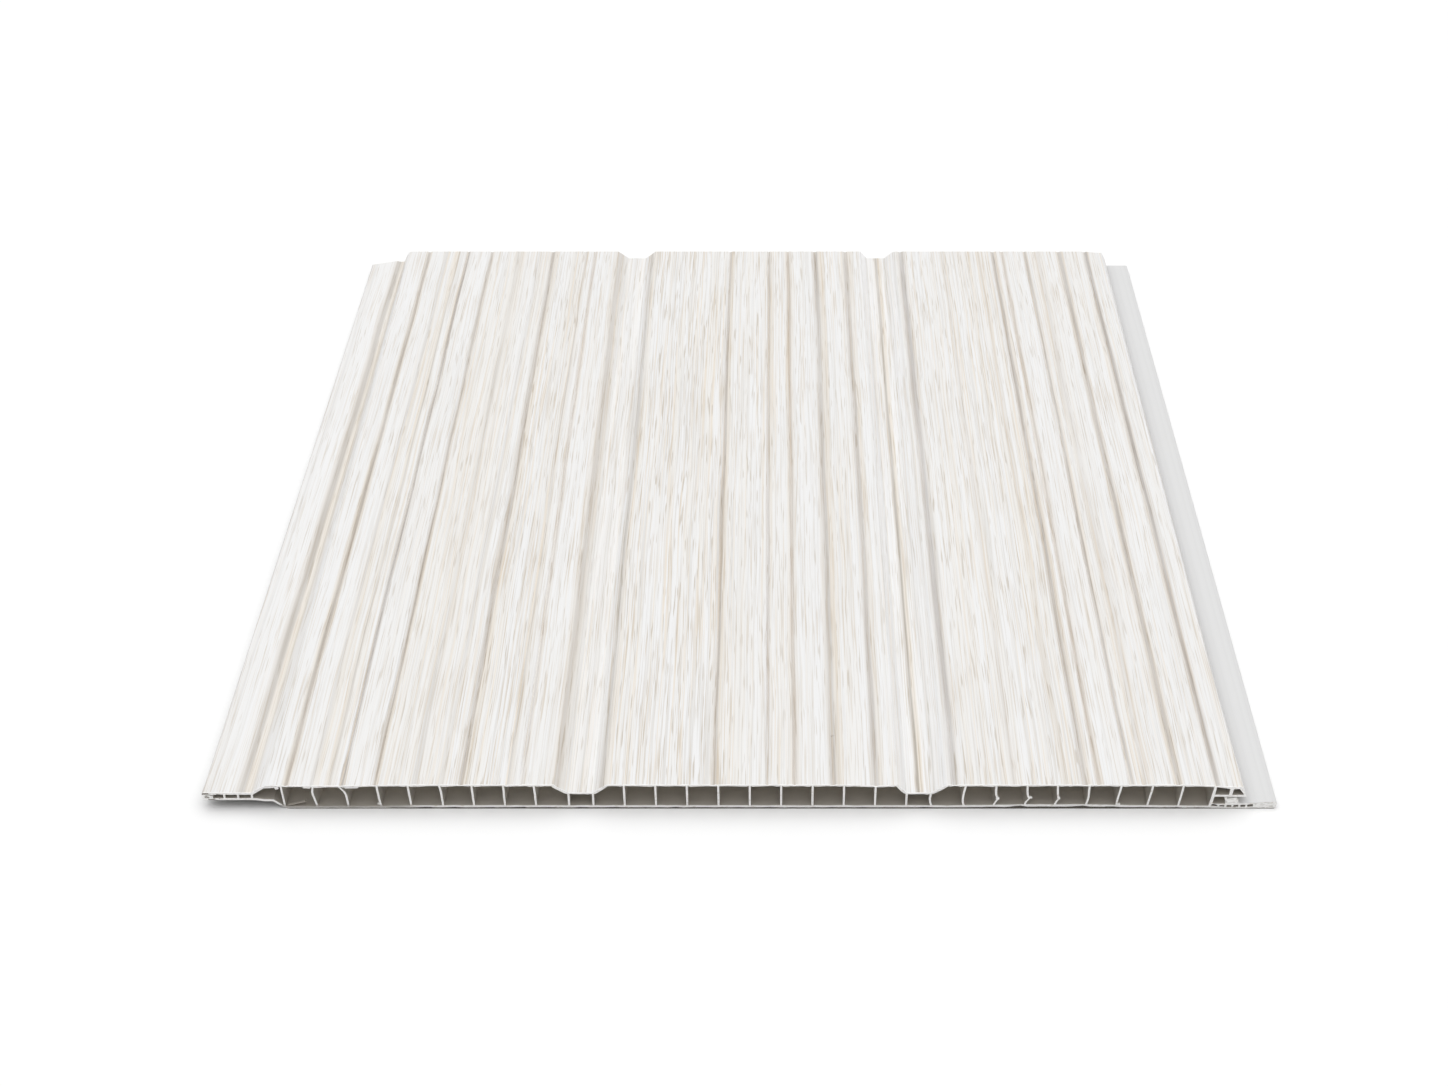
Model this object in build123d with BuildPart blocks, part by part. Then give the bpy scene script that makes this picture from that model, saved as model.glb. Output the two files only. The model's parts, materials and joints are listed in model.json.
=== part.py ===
"""Hollow extruded PVC ceiling panel, a short sawn length, lying face up.

One extruded section makes the whole panel: three boards side by side, parted by flat-floored
grooves, over rows of open cells. A thin lip along the left edge slides into the slot along the
right edge of the next panel, where a nailing flange runs on below the slot. X runs across the
panel, Y along the extrusion and Z up from the floor. Sizes are millimetres.
"""

import os

from build123d import *

# overall sizes, the cover width being the step from one laid panel to the next
COVER_WIDTH = 250.0
CUT_LENGTH = 265.0
THICKNESS = 8.0

# walls of the extrusion and the row of cells inside each board
SKIN = 0.65
WEB = 0.5
BOARDS = 3
CELLS_PER_BOARD = 10

# grooves between the boards, with the run of each one's left and right slope
GROOVE_FLOOR = 6.0
GROOVE_DEPTH = 2.7
GROOVE_RUNS = ((3.5, 3.5), (2.4, 3.6))
CORNER_EASE = 0.6

# lines scored along the face, broad and fine, each placed from the left edge of its board
BROAD_WIDTH = 1.7
BROAD_DEPTH = 0.3
BROAD_SCORES = ((8.0, 29.7, 51.0), (29.5, 59.0, 69.7), (5.5, 37.8, 60.7, 70.0))
FINE_WIDTH = 1.0
FINE_DEPTH = 0.2
FINE_SCORES = ((21.5, 62.2, 65.7), (43.0, 49.7), (41.0, 48.8, 52.0))

# lip on the left, the step up from it to the face and the heel down from it to the back
LIP_THICKNESS = 2.45
LIP_BEAD = 3.4
LIP_CELL = 3.4
LIP_WEBS = 2
STEP_RUN = 3.2
SHOULDER_EASE = 2.5
HEEL_RUN = 2.7

# slot, nose and nailing flange on the right, the face falling a little over its last cell
LIP_CLEARANCE = 0.15
LIP_END_GAP = 0.5
NOSE_RUN = 2.8
NOSE_FALL = 0.5
NOSE_EASE = 2.0
FLANGE_THICKNESS = 2.3
FLANGE_REACH = 8.3
FLANGE_BEAD = 5.8
FLANGE_WEBS = 5

# places across the section, from the middle of the panel's cover width
board_pitch = COVER_WIDTH / BOARDS
cell_pitch = (board_pitch - GROOVE_FLOOR) / CELLS_PER_BOARD
board_lefts = [GROOVE_FLOOR / 2 + i * board_pitch - COVER_WIDTH / 2 for i in range(BOARDS)]
step_foot = board_lefts[0]
heel_foot = step_foot + cell_pitch - WEB / 2
nose_tip = COVER_WIDTH / 2 - GROOVE_FLOOR / 2
slot_back = nose_tip - cell_pitch + WEB / 2
flange_end = nose_tip + FLANGE_REACH
lip_end = slot_back + LIP_END_GAP - COVER_WIDTH

# heights of the joint, so that the next panel's lip rides clear inside the slot
lip_low = FLANGE_THICKNESS + LIP_CLEARANCE
lip_top = lip_low + LIP_THICKNESS
slot_top = lip_top + LIP_CLEARANCE

# the section stands upright across the panel, with the origin under the middle of its box
section_plane = Plane(
    origin=(-(lip_end + flange_end) / 2, 0, 0),
    x_dir=(1, 0, 0),
    z_dir=(0, -1, 0),
)


def groove_corners(left, runs):
    """Return the corners of the groove on the left of a board, from right to left."""
    floor = THICKNESS - GROOVE_DEPTH
    left_run, right_run = runs
    return [
        (left + right_run, THICKNESS),
        (left, floor),
        (left - GROOVE_FLOOR, floor),
        (left - GROOVE_FLOOR - left_run, THICKNESS),
    ]


def cut_scores(rows, width, depth):
    """Cut a V of this width and depth into the face at each place in the boards' rows."""
    places = [(left + s, THICKNESS) for left, row in zip(board_lefts, rows) for s in row]
    with Locations(*places):
        Polygon((-width, depth), (0, -depth), (width, depth), mode=Mode.SUBTRACT)


def shoulder_corner(vertex):
    """Tell whether this corner of the outline is the one at the top of the step."""
    return vertex.X < heel_foot and vertex.Y > lip_top + SKIN


def nose_corner(vertex):
    """Tell whether this corner of the outline is the one at the top of the nose."""
    return vertex.X > slot_back and vertex.Y > slot_top + SKIN


def plain_corner(vertex):
    """Tell whether this corner of the outline is another one on the lip, the face or the flange's end."""
    on_face = vertex.X < slot_back - SKIN and vertex.Y > SKIN
    on_flange_end = vertex.X > nose_tip + SKIN
    return (on_face or on_flange_end) and not shoulder_corner(vertex)


# outer outline with plain corners: back, flange, slot, nose, face with its grooves, lip, heel
grooves = list(zip(board_lefts[1:], GROOVE_RUNS))
face_corners = [p for left, runs in reversed(grooves) for p in groove_corners(left, runs)]
with BuildSketch(section_plane) as outline:
    with BuildLine():
        Polyline(
            (heel_foot, 0),
            (flange_end, 0),
            (flange_end, FLANGE_THICKNESS),
            (slot_back, FLANGE_THICKNESS),
            (slot_back, slot_top),
            (nose_tip, slot_top),
            (nose_tip - NOSE_RUN, THICKNESS - NOSE_FALL),
            (nose_tip - cell_pitch, THICKNESS),
            *face_corners,
            (step_foot + STEP_RUN, THICKNESS),
            (step_foot, lip_top),
            (lip_end, lip_top),
            (lip_end, lip_low),
            (heel_foot - HEEL_RUN, lip_low),
            close=True,
        )
    make_face()

# hollow of the section: one even skin inside the outline, parted into cells by the webs
web_places = [left + i * cell_pitch for left in board_lefts for i in range(CELLS_PER_BOARD + 1)]
lip_webs = [step_foot - (i + 1) * LIP_CELL for i in range(LIP_WEBS)]
flange_bay = (flange_end - FLANGE_BEAD - slot_back) / (FLANGE_WEBS + 1)
flange_webs = [slot_back + (i + 1) * flange_bay for i in range(FLANGE_WEBS)]
with BuildSketch(section_plane) as cells:
    add(outline.sketch_local)
    offset(amount=-SKIN, kind=Kind.INTERSECTION, mode=Mode.REPLACE)
    with Locations(*[(x, THICKNESS / 2) for x in web_places if x < slot_back - WEB]):
        Rectangle(WEB, THICKNESS, mode=Mode.SUBTRACT)
    with Locations((slot_back - SKIN / 2, THICKNESS / 2)):
        Rectangle(SKIN, THICKNESS, mode=Mode.SUBTRACT)
    with Locations(((slot_back + nose_tip) / 2, (slot_top + THICKNESS) / 2)):
        Rectangle(WEB, THICKNESS - slot_top, mode=Mode.SUBTRACT)
    with Locations(*[(x, (lip_low + lip_top) / 2) for x in lip_webs]):
        Rectangle(WEB, LIP_THICKNESS, mode=Mode.SUBTRACT)
    with Locations((lip_end + LIP_BEAD / 2, (lip_low + lip_top) / 2)):
        Rectangle(LIP_BEAD, LIP_THICKNESS, mode=Mode.SUBTRACT)
    with Locations(*[(x, FLANGE_THICKNESS / 2) for x in flange_webs]):
        Rectangle(WEB, FLANGE_THICKNESS, mode=Mode.SUBTRACT)
    with Locations((flange_end - FLANGE_BEAD / 2, FLANGE_THICKNESS / 2)):
        Rectangle(FLANGE_BEAD, FLANGE_THICKNESS, mode=Mode.SUBTRACT)

with BuildPart() as panel:
    with BuildSketch(section_plane) as section:
        add(outline.sketch_local)
        for corner, radius in (
            (plain_corner, CORNER_EASE),
            (shoulder_corner, SHOULDER_EASE),
            (nose_corner, NOSE_EASE),
        ):
            fillet(section.vertices().filter_by(corner), radius)
        add(cells.sketch_local, mode=Mode.SUBTRACT)
        cut_scores(BROAD_SCORES, BROAD_WIDTH, BROAD_DEPTH)
        cut_scores(FINE_SCORES, FINE_WIDTH, FINE_DEPTH)
    extrude(amount=CUT_LENGTH / 2, both=True)

os.makedirs("parts", exist_ok=True)
panel.part.label = "ceiling_panel"
export_step(panel.part, "parts/ceiling_panel.step")
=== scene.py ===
"""Looks of a short sawn length of hollow PVC ceiling panel, lying face up.

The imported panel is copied, cut finer near its two sawn ends and worn there as a saw leaves thin
plastic: webs lean and kink, the back skin is chipped and the lip droops. Its face is dressed with
a pale film printed with wood grain in strips, and the cells, the sawn edges and the bare PVC have
finishes of their own. X runs across the panel, Y along it and Z up. Lengths are metres, and most
are written as a number of millimetres times MM.
"""

import json
import logging
import math
from collections.abc import Callable, Iterator
from contextlib import contextmanager
from dataclasses import dataclass, field
from enum import Enum
from functools import cached_property

import bpy
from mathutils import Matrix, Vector, noise

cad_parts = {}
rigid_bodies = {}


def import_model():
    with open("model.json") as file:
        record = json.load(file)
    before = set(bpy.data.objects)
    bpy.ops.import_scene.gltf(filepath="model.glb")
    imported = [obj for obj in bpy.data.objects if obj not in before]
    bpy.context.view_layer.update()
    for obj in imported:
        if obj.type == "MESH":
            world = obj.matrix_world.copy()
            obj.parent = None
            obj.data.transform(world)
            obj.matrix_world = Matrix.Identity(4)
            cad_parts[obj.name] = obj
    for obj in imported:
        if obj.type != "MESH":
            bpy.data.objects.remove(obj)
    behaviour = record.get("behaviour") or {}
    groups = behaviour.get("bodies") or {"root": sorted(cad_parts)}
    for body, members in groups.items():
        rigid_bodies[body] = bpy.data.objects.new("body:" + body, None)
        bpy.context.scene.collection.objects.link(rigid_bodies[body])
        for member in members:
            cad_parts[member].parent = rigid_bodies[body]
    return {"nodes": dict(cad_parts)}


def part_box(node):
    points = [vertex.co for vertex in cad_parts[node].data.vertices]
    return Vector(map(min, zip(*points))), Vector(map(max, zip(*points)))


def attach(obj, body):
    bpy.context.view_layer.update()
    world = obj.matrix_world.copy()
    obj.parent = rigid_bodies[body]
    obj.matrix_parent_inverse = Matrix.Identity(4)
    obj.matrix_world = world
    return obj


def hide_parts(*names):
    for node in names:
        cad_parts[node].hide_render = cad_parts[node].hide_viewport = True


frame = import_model()

LOG = logging.getLogger("ceiling_panel")
MM = 0.001
NODE = "ceiling_panel"
BODY = "root"
MERGE_DISTANCE = 0.002 * MM
PVC_IOR = 1.5

# a face whose normal runs along the panel by more than this belongs to a sawn end
END_FACING = 0.7

# sockets of a mix node that takes colours
MIX_FIRST, MIX_SECOND, MIX_RESULT = 6, 7, 2

Colour = tuple[float, float, float, float]
Place = tuple[float, float, float]
Span = tuple[float, float]
Face = bpy.types.MeshPolygon
Material = bpy.types.Material
Piece = bpy.types.Object
Socket = bpy.types.NodeSocket

WHITE: Colour = (1.0, 1.0, 1.0, 1.0)


class Surface(Enum):
    """Surfaces of the extrusion, in the order of its material slots."""

    FILM = 0
    BARE = 1
    CELL = 2
    SAWN = 3
    BACK = 4


class TanSide(Enum):
    """Side of a printed line on which its tan edge lies, or a line that is tan all through."""

    LEFT = "left"
    RIGHT = "right"
    BOTH = "both"
    THROUGH = "through"
    NONE = "none"


def srgb(red: int, green: int, blue: int) -> Colour:
    """Turn a display colour into the linear colour that a shader takes.

    Args:
        red: Red level from 0 to 255.
        green: Green level from 0 to 255.
        blue: Blue level from 0 to 255.

    Returns:
        The linear colour with full alpha.
    """
    levels = [level / 255 for level in (red, green, blue)]
    linear = [v / 12.92 if v <= 0.04045 else ((v + 0.055) / 1.055) ** 2.4 for v in levels]
    return (*linear, 1.0)


def smooth_step(value: float, start: float, end: float) -> float:
    """Rise smoothly from 0 at start to 1 at end.

    Args:
        value: Where to read the step.
        start: Value at which it is 0, which may be the larger one.
        end: Value at which it is 1.

    Returns:
        The height of the step there.
    """
    t = min(max((value - start) / (end - start), 0.0), 1.0)
    return t * t * (3 - 2 * t)


def spread(value: float, places: list[float], heights: list[float]) -> float:
    """Read a line drawn through points.

    Args:
        value: Where to read it.
        places: The points' places, in rising order.
        heights: The points' heights.

    Returns:
        The height there, level beyond the first and last point.
    """
    if value <= places[0]:
        return heights[0]
    for i in range(1, len(places)):
        if value <= places[i]:
            share = (value - places[i - 1]) / (places[i] - places[i - 1])
            return heights[i - 1] + share * (heights[i] - heights[i - 1])
    return heights[-1]


def select_only(piece: Piece) -> None:
    """Deselect everything else and make this piece the active one."""
    bpy.ops.object.select_all(action="DESELECT")
    piece.select_set(True)
    bpy.context.view_layer.objects.active = piece


@contextmanager
def edit_mode(piece: Piece) -> Iterator[None]:
    """Hold a piece in edit mode, picking faces, for the length of a with block."""
    select_only(piece)
    bpy.ops.object.mode_set(mode="EDIT")
    bpy.ops.mesh.select_mode(type="FACE")
    try:
        yield
    finally:
        bpy.ops.object.mode_set(mode="OBJECT")


def pick_faces(piece: Piece, test: Callable[[Face], bool]) -> None:
    """Select faces of a piece in edit mode, and no others.

    Args:
        piece: The piece, which is in edit mode before and after.
        test: Says whether a face is picked.
    """
    bpy.ops.mesh.select_all(action="DESELECT")
    bpy.ops.object.mode_set(mode="OBJECT")
    for face in piece.data.polygons:
        face.select = not face.hide and test(face)
    bpy.ops.object.mode_set(mode="EDIT")


@dataclass(frozen=True)
class PanelSection:
    """Places across the extruded section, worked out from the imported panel's box."""

    low: Vector
    high: Vector
    cover_width: float = 250 * MM
    boards: int = 3
    cells_per_board: int = 10
    groove_floor: float = 6 * MM
    groove_depth: float = 2.7 * MM
    skin: float = 0.65 * MM
    nose_run: float = 2.8 * MM
    flange_reach: float = 8.3 * MM
    flange_thickness: float = 2.3 * MM
    lip_low: float = 2.45 * MM
    lip_thickness: float = 2.45 * MM
    lip_bead: float = 3.4 * MM
    step_run: float = 3.2 * MM

    @property
    def width(self) -> float:
        """Width of the panel over its lip and flange."""
        return self.high.x - self.low.x

    @property
    def length(self) -> float:
        """Length from one sawn end to the other."""
        return self.high.y - self.low.y

    @property
    def thickness(self) -> float:
        """Height of the face above the floor."""
        return self.high.z

    @property
    def middle(self) -> float:
        """Place of the middle of the cover width, from which the film's print is set out."""
        return self.nose_tip - self.cover_width / 2 + self.groove_floor / 2

    @property
    def nose_tip(self) -> float:
        """Place of the nose's tip over the flange."""
        return self.high.x - self.flange_reach

    @property
    def cell_pitch(self) -> float:
        """Step from one web of a board to the next."""
        return (self.cover_width / self.boards - self.groove_floor) / self.cells_per_board

    @cached_property
    def webs(self) -> list[float]:
        """Places of all the webs, from the step on the left to the nose's tip on the right."""
        pitch = self.cover_width / self.boards
        lefts = [
            self.nose_tip - (self.boards - i) * pitch + self.groove_floor for i in range(self.boards)
        ]
        return [left + i * self.cell_pitch for left in lefts for i in range(self.cells_per_board + 1)]

    @property
    def step_foot(self) -> float:
        """Place where the lip meets the step up to the face."""
        return self.webs[0]

    @property
    def slot_middle(self) -> float:
        """Height of the middle of the slot, between the nose and the flange."""
        return self.lip_low + 0.5 * self.lip_thickness

    @property
    def slot_wall(self) -> float:
        """Place of the wall at the back of the slot."""
        return self.nose_tip - self.cell_pitch

    def from_front(self, y: float) -> float:
        """Distance of a place from the front end."""
        return y - self.low.y

    def from_end(self, y: float) -> float:
        """Distance of a place from the nearer sawn end."""
        return min(y - self.low.y, self.high.y - y)


@dataclass(frozen=True)
class Streaks:
    """Noise drawn out along the panel, and the levels between which its streaks come to show.

    The width and length of a streak are in millimetres. The seed sets one noise apart from the others,
    and detail counts its finer octaves. The streaks show from low to high as the noise goes from start
    to full.
    """

    width: float
    length: float
    seed: float
    detail: float
    start: float = 0.0
    full: float = 1.0
    low: float = 0.0
    high: float = 1.0
    roughness: float = 0.55


class NodeSheet:
    """A node tree, with short calls that add its nodes and join them."""

    spacing: Span = (180, -260)
    row_length: int = 12

    def __init__(self, owner: bpy.types.ID) -> None:
        """Start an empty sheet.

        Args:
            owner: The material or the world that the tree belongs to.
        """
        owner.use_nodes = True
        self.tree = owner.node_tree
        self.tree.nodes.clear()
        self.count = 0

    def node(self, kind: str, **settings: object) -> bpy.types.Node:
        """Add a node.

        Args:
            kind: The node's type.
            settings: Values for the node's own properties.

        Returns:
            The new node.
        """
        node = self.tree.nodes.new(kind)
        row, column = divmod(self.count, self.row_length)
        node.location = (self.spacing[0] * column, self.spacing[1] * row)
        self.count += 1
        for name, value in settings.items():
            setattr(node, name, value)
        return node

    def feed(self, socket: Socket, value: object) -> None:
        """Link a socket to an output, or set it to a plain value."""
        if isinstance(value, Socket):
            self.tree.links.new(value, socket)
        else:
            socket.default_value = value

    def math(self, operation: str, *values: object) -> Socket:
        """Work out a number.

        Args:
            operation: Name of the Math node's operation.
            values: Its inputs, each a number or an output.

        Returns:
            The result.
        """
        node = self.node("ShaderNodeMath", operation=operation)
        for socket, value in zip(node.inputs, values):
            self.feed(socket, value)
        return node.outputs[0]

    def split(self, where: Socket) -> tuple[Socket, ...]:
        """Split a place into its numbers across, along and up."""
        node = self.node("ShaderNodeSeparateXYZ")
        self.feed(node.inputs[0], where)
        return tuple(node.outputs)

    def scale(
        self, value: object, start: float, end: float, low: float, high: float, easing: str = "LINEAR"
    ) -> Socket:
        """Turn a number into a run from one level to another.

        Args:
            value: The number.
            start: Where the run starts.
            end: Where it ends.
            low: Level before it.
            high: Level after it.
            easing: Name of the run's interpolation.

        Returns:
            The level.
        """
        node = self.node("ShaderNodeMapRange", interpolation_type=easing)
        for socket, entry in zip(node.inputs, (value, start, end, low, high)):
            self.feed(socket, entry)
        return node.outputs[0]


class ShaderSheet(NodeSheet):
    """Node tree of one finish, with calls for places, streaks and colours on the piece."""

    def __init__(self, name: str) -> None:
        """Start an empty sheet.

        Args:
            name: Name of the material.
        """
        self.material = bpy.data.materials.new(name)
        super().__init__(self.material)

    def place(self, section_middle: float) -> tuple[Socket, ...]:
        """Read where a point lies on the piece, in millimetres.

        Args:
            section_middle: Place across the piece that counts as zero.

        Returns:
            The places across, along and up.
        """
        shift = self.node("ShaderNodeMapping", vector_type="POINT")
        self.feed(shift.inputs["Vector"], self.node("ShaderNodeTexCoord").outputs["Object"])
        self.feed(shift.inputs["Location"], (-section_middle / MM, 0, 0))
        self.feed(shift.inputs["Scale"], (1 / MM, 1 / MM, 1 / MM))
        return self.split(shift.outputs[0])

    def inward(self, along: object, length: float) -> Socket:
        """Measure how far a place lies from the nearer sawn end, in millimetres.

        Args:
            along: Place along in millimetres.
            length: Length of the panel.

        Returns:
            The distance.
        """
        return self.math("SUBTRACT", length / 2 / MM, self.math("ABSOLUTE", along))

    def noise(self, across: object, along: object, streaks: Streaks) -> Socket:
        """Make the noise that streaks are read from.

        Args:
            across: Place across in millimetres.
            along: Place along in millimetres.
            streaks: The streaks.

        Returns:
            The noise, from 0 to 1 around 0.5.
        """
        where = self.node("ShaderNodeCombineXYZ")
        self.feed(where.inputs[0], self.math("DIVIDE", across, streaks.width))
        self.feed(where.inputs[1], self.math("DIVIDE", along, streaks.length))
        self.feed(where.inputs[2], streaks.seed)
        texture = self.node("ShaderNodeTexNoise", noise_dimensions="3D")
        self.feed(texture.inputs["Vector"], where.outputs[0])
        self.feed(texture.inputs["Scale"], 1.0)
        self.feed(texture.inputs["Detail"], streaks.detail)
        self.feed(texture.inputs["Roughness"], streaks.roughness)
        return texture.outputs["Fac"]

    def streaks(self, across: object, along: object, streaks: Streaks) -> Socket:
        """Make streaks and tell how much of them shows, with the same inputs as their noise."""
        value = self.noise(across, along, streaks)
        return self.rise(value, streaks.start, streaks.full, streaks.low, streaks.high)

    def rise(
        self, value: object, start: float, end: float, low: float = 0.0, high: float = 1.0
    ) -> Socket:
        """Turn a number into a smooth rise or fall, with the same inputs as a scale."""
        return self.scale(value, start, end, low, high, "SMOOTHSTEP")

    def ramp(self, value: object, stops: list[tuple[float, Colour]], held: bool = False) -> Socket:
        """Read a row of colours.

        Args:
            value: Where to read it, on the stops' own scale.
            stops: Places and colours in rising order, at most 32.
            held: Whether each colour holds until the next stop.

        Returns:
            The colour there.
        """
        first, last = stops[0][0], stops[-1][0]
        node = self.node("ShaderNodeValToRGB")
        self.feed(node.inputs[0], self.scale(value, first, last, 0.0, 1.0))
        row = node.color_ramp
        row.interpolation = "CONSTANT" if held else "LINEAR"
        row.elements[1].position = 1.0
        row.elements[1].color = stops[-1][1]
        row.elements[0].position = 0.0
        row.elements[0].color = stops[0][1]
        for place, colour in stops[1:-1]:
            stop = row.elements.new((place - first) / (last - first))
            stop.color = colour
        return node.outputs[0]

    def mix(self, share: object, first: object, second: object, blend: str = "MIX") -> Socket:
        """Mix two colours.

        Args:
            share: How much of the second shows.
            first: The first colour.
            second: The second colour.
            blend: Name of the blend.

        Returns:
            The mixed colour.
        """
        node = self.node("ShaderNodeMix", data_type="RGBA", blend_type=blend)
        self.feed(node.inputs["Factor"], share)
        self.feed(node.inputs[MIX_FIRST], first)
        self.feed(node.inputs[MIX_SECOND], second)
        return node.outputs[MIX_RESULT]

    def finish(
        self, colour: object, roughness: object, height: object = None, depth: float = 0.0
    ) -> Material:
        """Close the sheet with its shader.

        Args:
            colour: Base colour.
            roughness: Roughness of the surface.
            height: Relief from 0 to 1, if the surface has any.
            depth: Height of a relief of 1.

        Returns:
            The finished material.
        """
        shader = self.node("ShaderNodeBsdfPrincipled")
        self.feed(shader.inputs["Base Color"], colour)
        self.feed(shader.inputs["Roughness"], roughness)
        self.feed(shader.inputs["IOR"], PVC_IOR)
        if height is not None:
            bump = self.node("ShaderNodeBump")
            self.feed(bump.inputs["Distance"], depth)
            self.feed(bump.inputs["Height"], height)
            self.feed(shader.inputs["Normal"], bump.outputs[0])
        output = self.node("ShaderNodeOutputMaterial")
        self.feed(output.inputs["Surface"], shader.outputs[0])
        return self.material


@dataclass(frozen=True)
class PrintLine:
    """A darker line along the film, in millimetres from the middle of the cover width: mostly print,
    and a few painted shade.

    A line of negative strength is paler than the film: painted light that lifts the shade on a groove's
    slope.
    """

    place: float
    width: float
    strength: float
    tan: TanSide = TanSide.RIGHT


@dataclass(frozen=True)
class PrintStrip:
    """A strip of the print, from its left edge to the next strip's.

    The beige, grain and tick fields say how much of each shows, from 0 to 1.
    """

    left: float
    beige: float
    grain: float
    ticks: float


FILM_LINES = (
    # painted shade: these two grey lines darken the lip's rounded outer edge, which turns away from the
    # light; they are not print
    PrintLine(-134.7, 0.9, 0.32, TanSide.NONE),
    PrintLine(-132.9, 1.2, 0.16, TanSide.NONE),
    # painted shade: this line darkens the foot of the step, where the lip meets the face
    PrintLine(-125.0, 3.7, 0.76),
    PrintLine(-114.0, 1.7, 0.84, TanSide.BOTH),
    PrintLine(-107.8, 1.6, 0.35),
    PrintLine(-103.6, 1.0, 0.55, TanSide.LEFT),
    PrintLine(-100.3, 1.2, 0.82, TanSide.NONE),
    PrintLine(-92.2, 1.3, 0.86),
    PrintLine(-82.3, 3.0, 0.26),
    PrintLine(-75.5, 1.5, 0.30),
    PrintLine(-70.7, 2.2, 0.74),
    PrintLine(-59.3, 1.2, 0.35),
    PrintLine(-56.0, 1.3, 0.38, TanSide.THROUGH),
    PrintLine(-47.4, 3.2, 0.42, TanSide.THROUGH),
    PrintLine(-41.9, 3.6, 0.12, TanSide.NONE),
    PrintLine(-36.3, 2.0, 0.52),
    PrintLine(-8.8, 1.7, 0.74),
    PrintLine(4.5, 1.4, 0.42),
    PrintLine(11.2, 2.2, 0.46, TanSide.THROUGH),
    PrintLine(20.8, 3.1, 0.68),
    PrintLine(31.2, 2.6, 0.56),
    # painted light: a paler line lifts the shade on the left slope of the second groove
    PrintLine(37.2, 1.2, -0.25, TanSide.NONE),
    PrintLine(39.6, 1.4, 0.14, TanSide.NONE),
    PrintLine(41.7, 1.7, 0.86),
    PrintLine(44.3, 1.2, 0.10, TanSide.NONE),
    # painted light: a paler line lifts the shade on the right slope of the second groove
    PrintLine(46.8, 1.4, -0.15, TanSide.NONE),
    PrintLine(50.5, 3.0, 0.66, TanSide.NONE),
    PrintLine(64.9, 1.9, 0.26, TanSide.THROUGH),
    PrintLine(77.5, 1.6, 0.27, TanSide.THROUGH),
    PrintLine(82.7, 1.9, 0.68),
    PrintLine(86.0, 1.6, 0.50, TanSide.THROUGH),
    PrintLine(93.8, 1.2, 0.65, TanSide.BOTH),
    PrintLine(97.7, 3.2, 0.27, TanSide.THROUGH),
    PrintLine(105.6, 2.1, 0.72, TanSide.BOTH),
    PrintLine(115.0, 1.7, 0.84, TanSide.NONE),
)

FILM_STRIPS = (
    PrintStrip(-136.0, 0.10, 0.35, 0.45),
    PrintStrip(-122.0, 0.15, 0.40, 0.50),
    PrintStrip(-114.0, 0.15, 0.45, 0.50),
    PrintStrip(-107.8, 0.55, 0.70, 0.45),
    PrintStrip(-100.5, 0.20, 0.60, 0.55),
    PrintStrip(-92.3, 0.55, 0.75, 0.55),
    PrintStrip(-82.5, 0.45, 0.70, 0.50),
    PrintStrip(-71.0, 0.60, 0.90, 0.75),
    PrintStrip(-59.8, 0.20, 0.50, 0.60),
    PrintStrip(-47.4, 0.35, 0.50, 0.40),
    PrintStrip(-44.6, 0.25, 1.00, 0.60),
    PrintStrip(-36.3, 0.65, 1.00, 0.80),
    PrintStrip(-9.0, 0.45, 0.80, 0.70),
    PrintStrip(4.2, 0.55, 0.70, 0.55),
    PrintStrip(11.2, 0.20, 0.60, 0.55),
    PrintStrip(20.4, 0.40, 0.70, 0.60),
    PrintStrip(30.8, 0.30, 0.60, 0.50),
    PrintStrip(35.0, 0.30, 0.50, 0.35),
    PrintStrip(38.7, 0.20, 1.00, 0.60),
    PrintStrip(45.0, 0.25, 0.50, 0.35),
    PrintStrip(50.3, 0.45, 0.75, 0.65),
    PrintStrip(65.0, 0.60, 0.85, 0.65),
    PrintStrip(82.5, 0.20, 0.55, 0.55),
    PrintStrip(93.4, 0.50, 0.65, 0.50),
    PrintStrip(97.8, 0.30, 0.60, 0.55),
    PrintStrip(105.5, 0.40, 0.65, 0.60),
    PrintStrip(114.7, 0.45, 0.60, 0.50),
    PrintStrip(124.0, 0.45, 0.60, 0.50),
)


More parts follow.
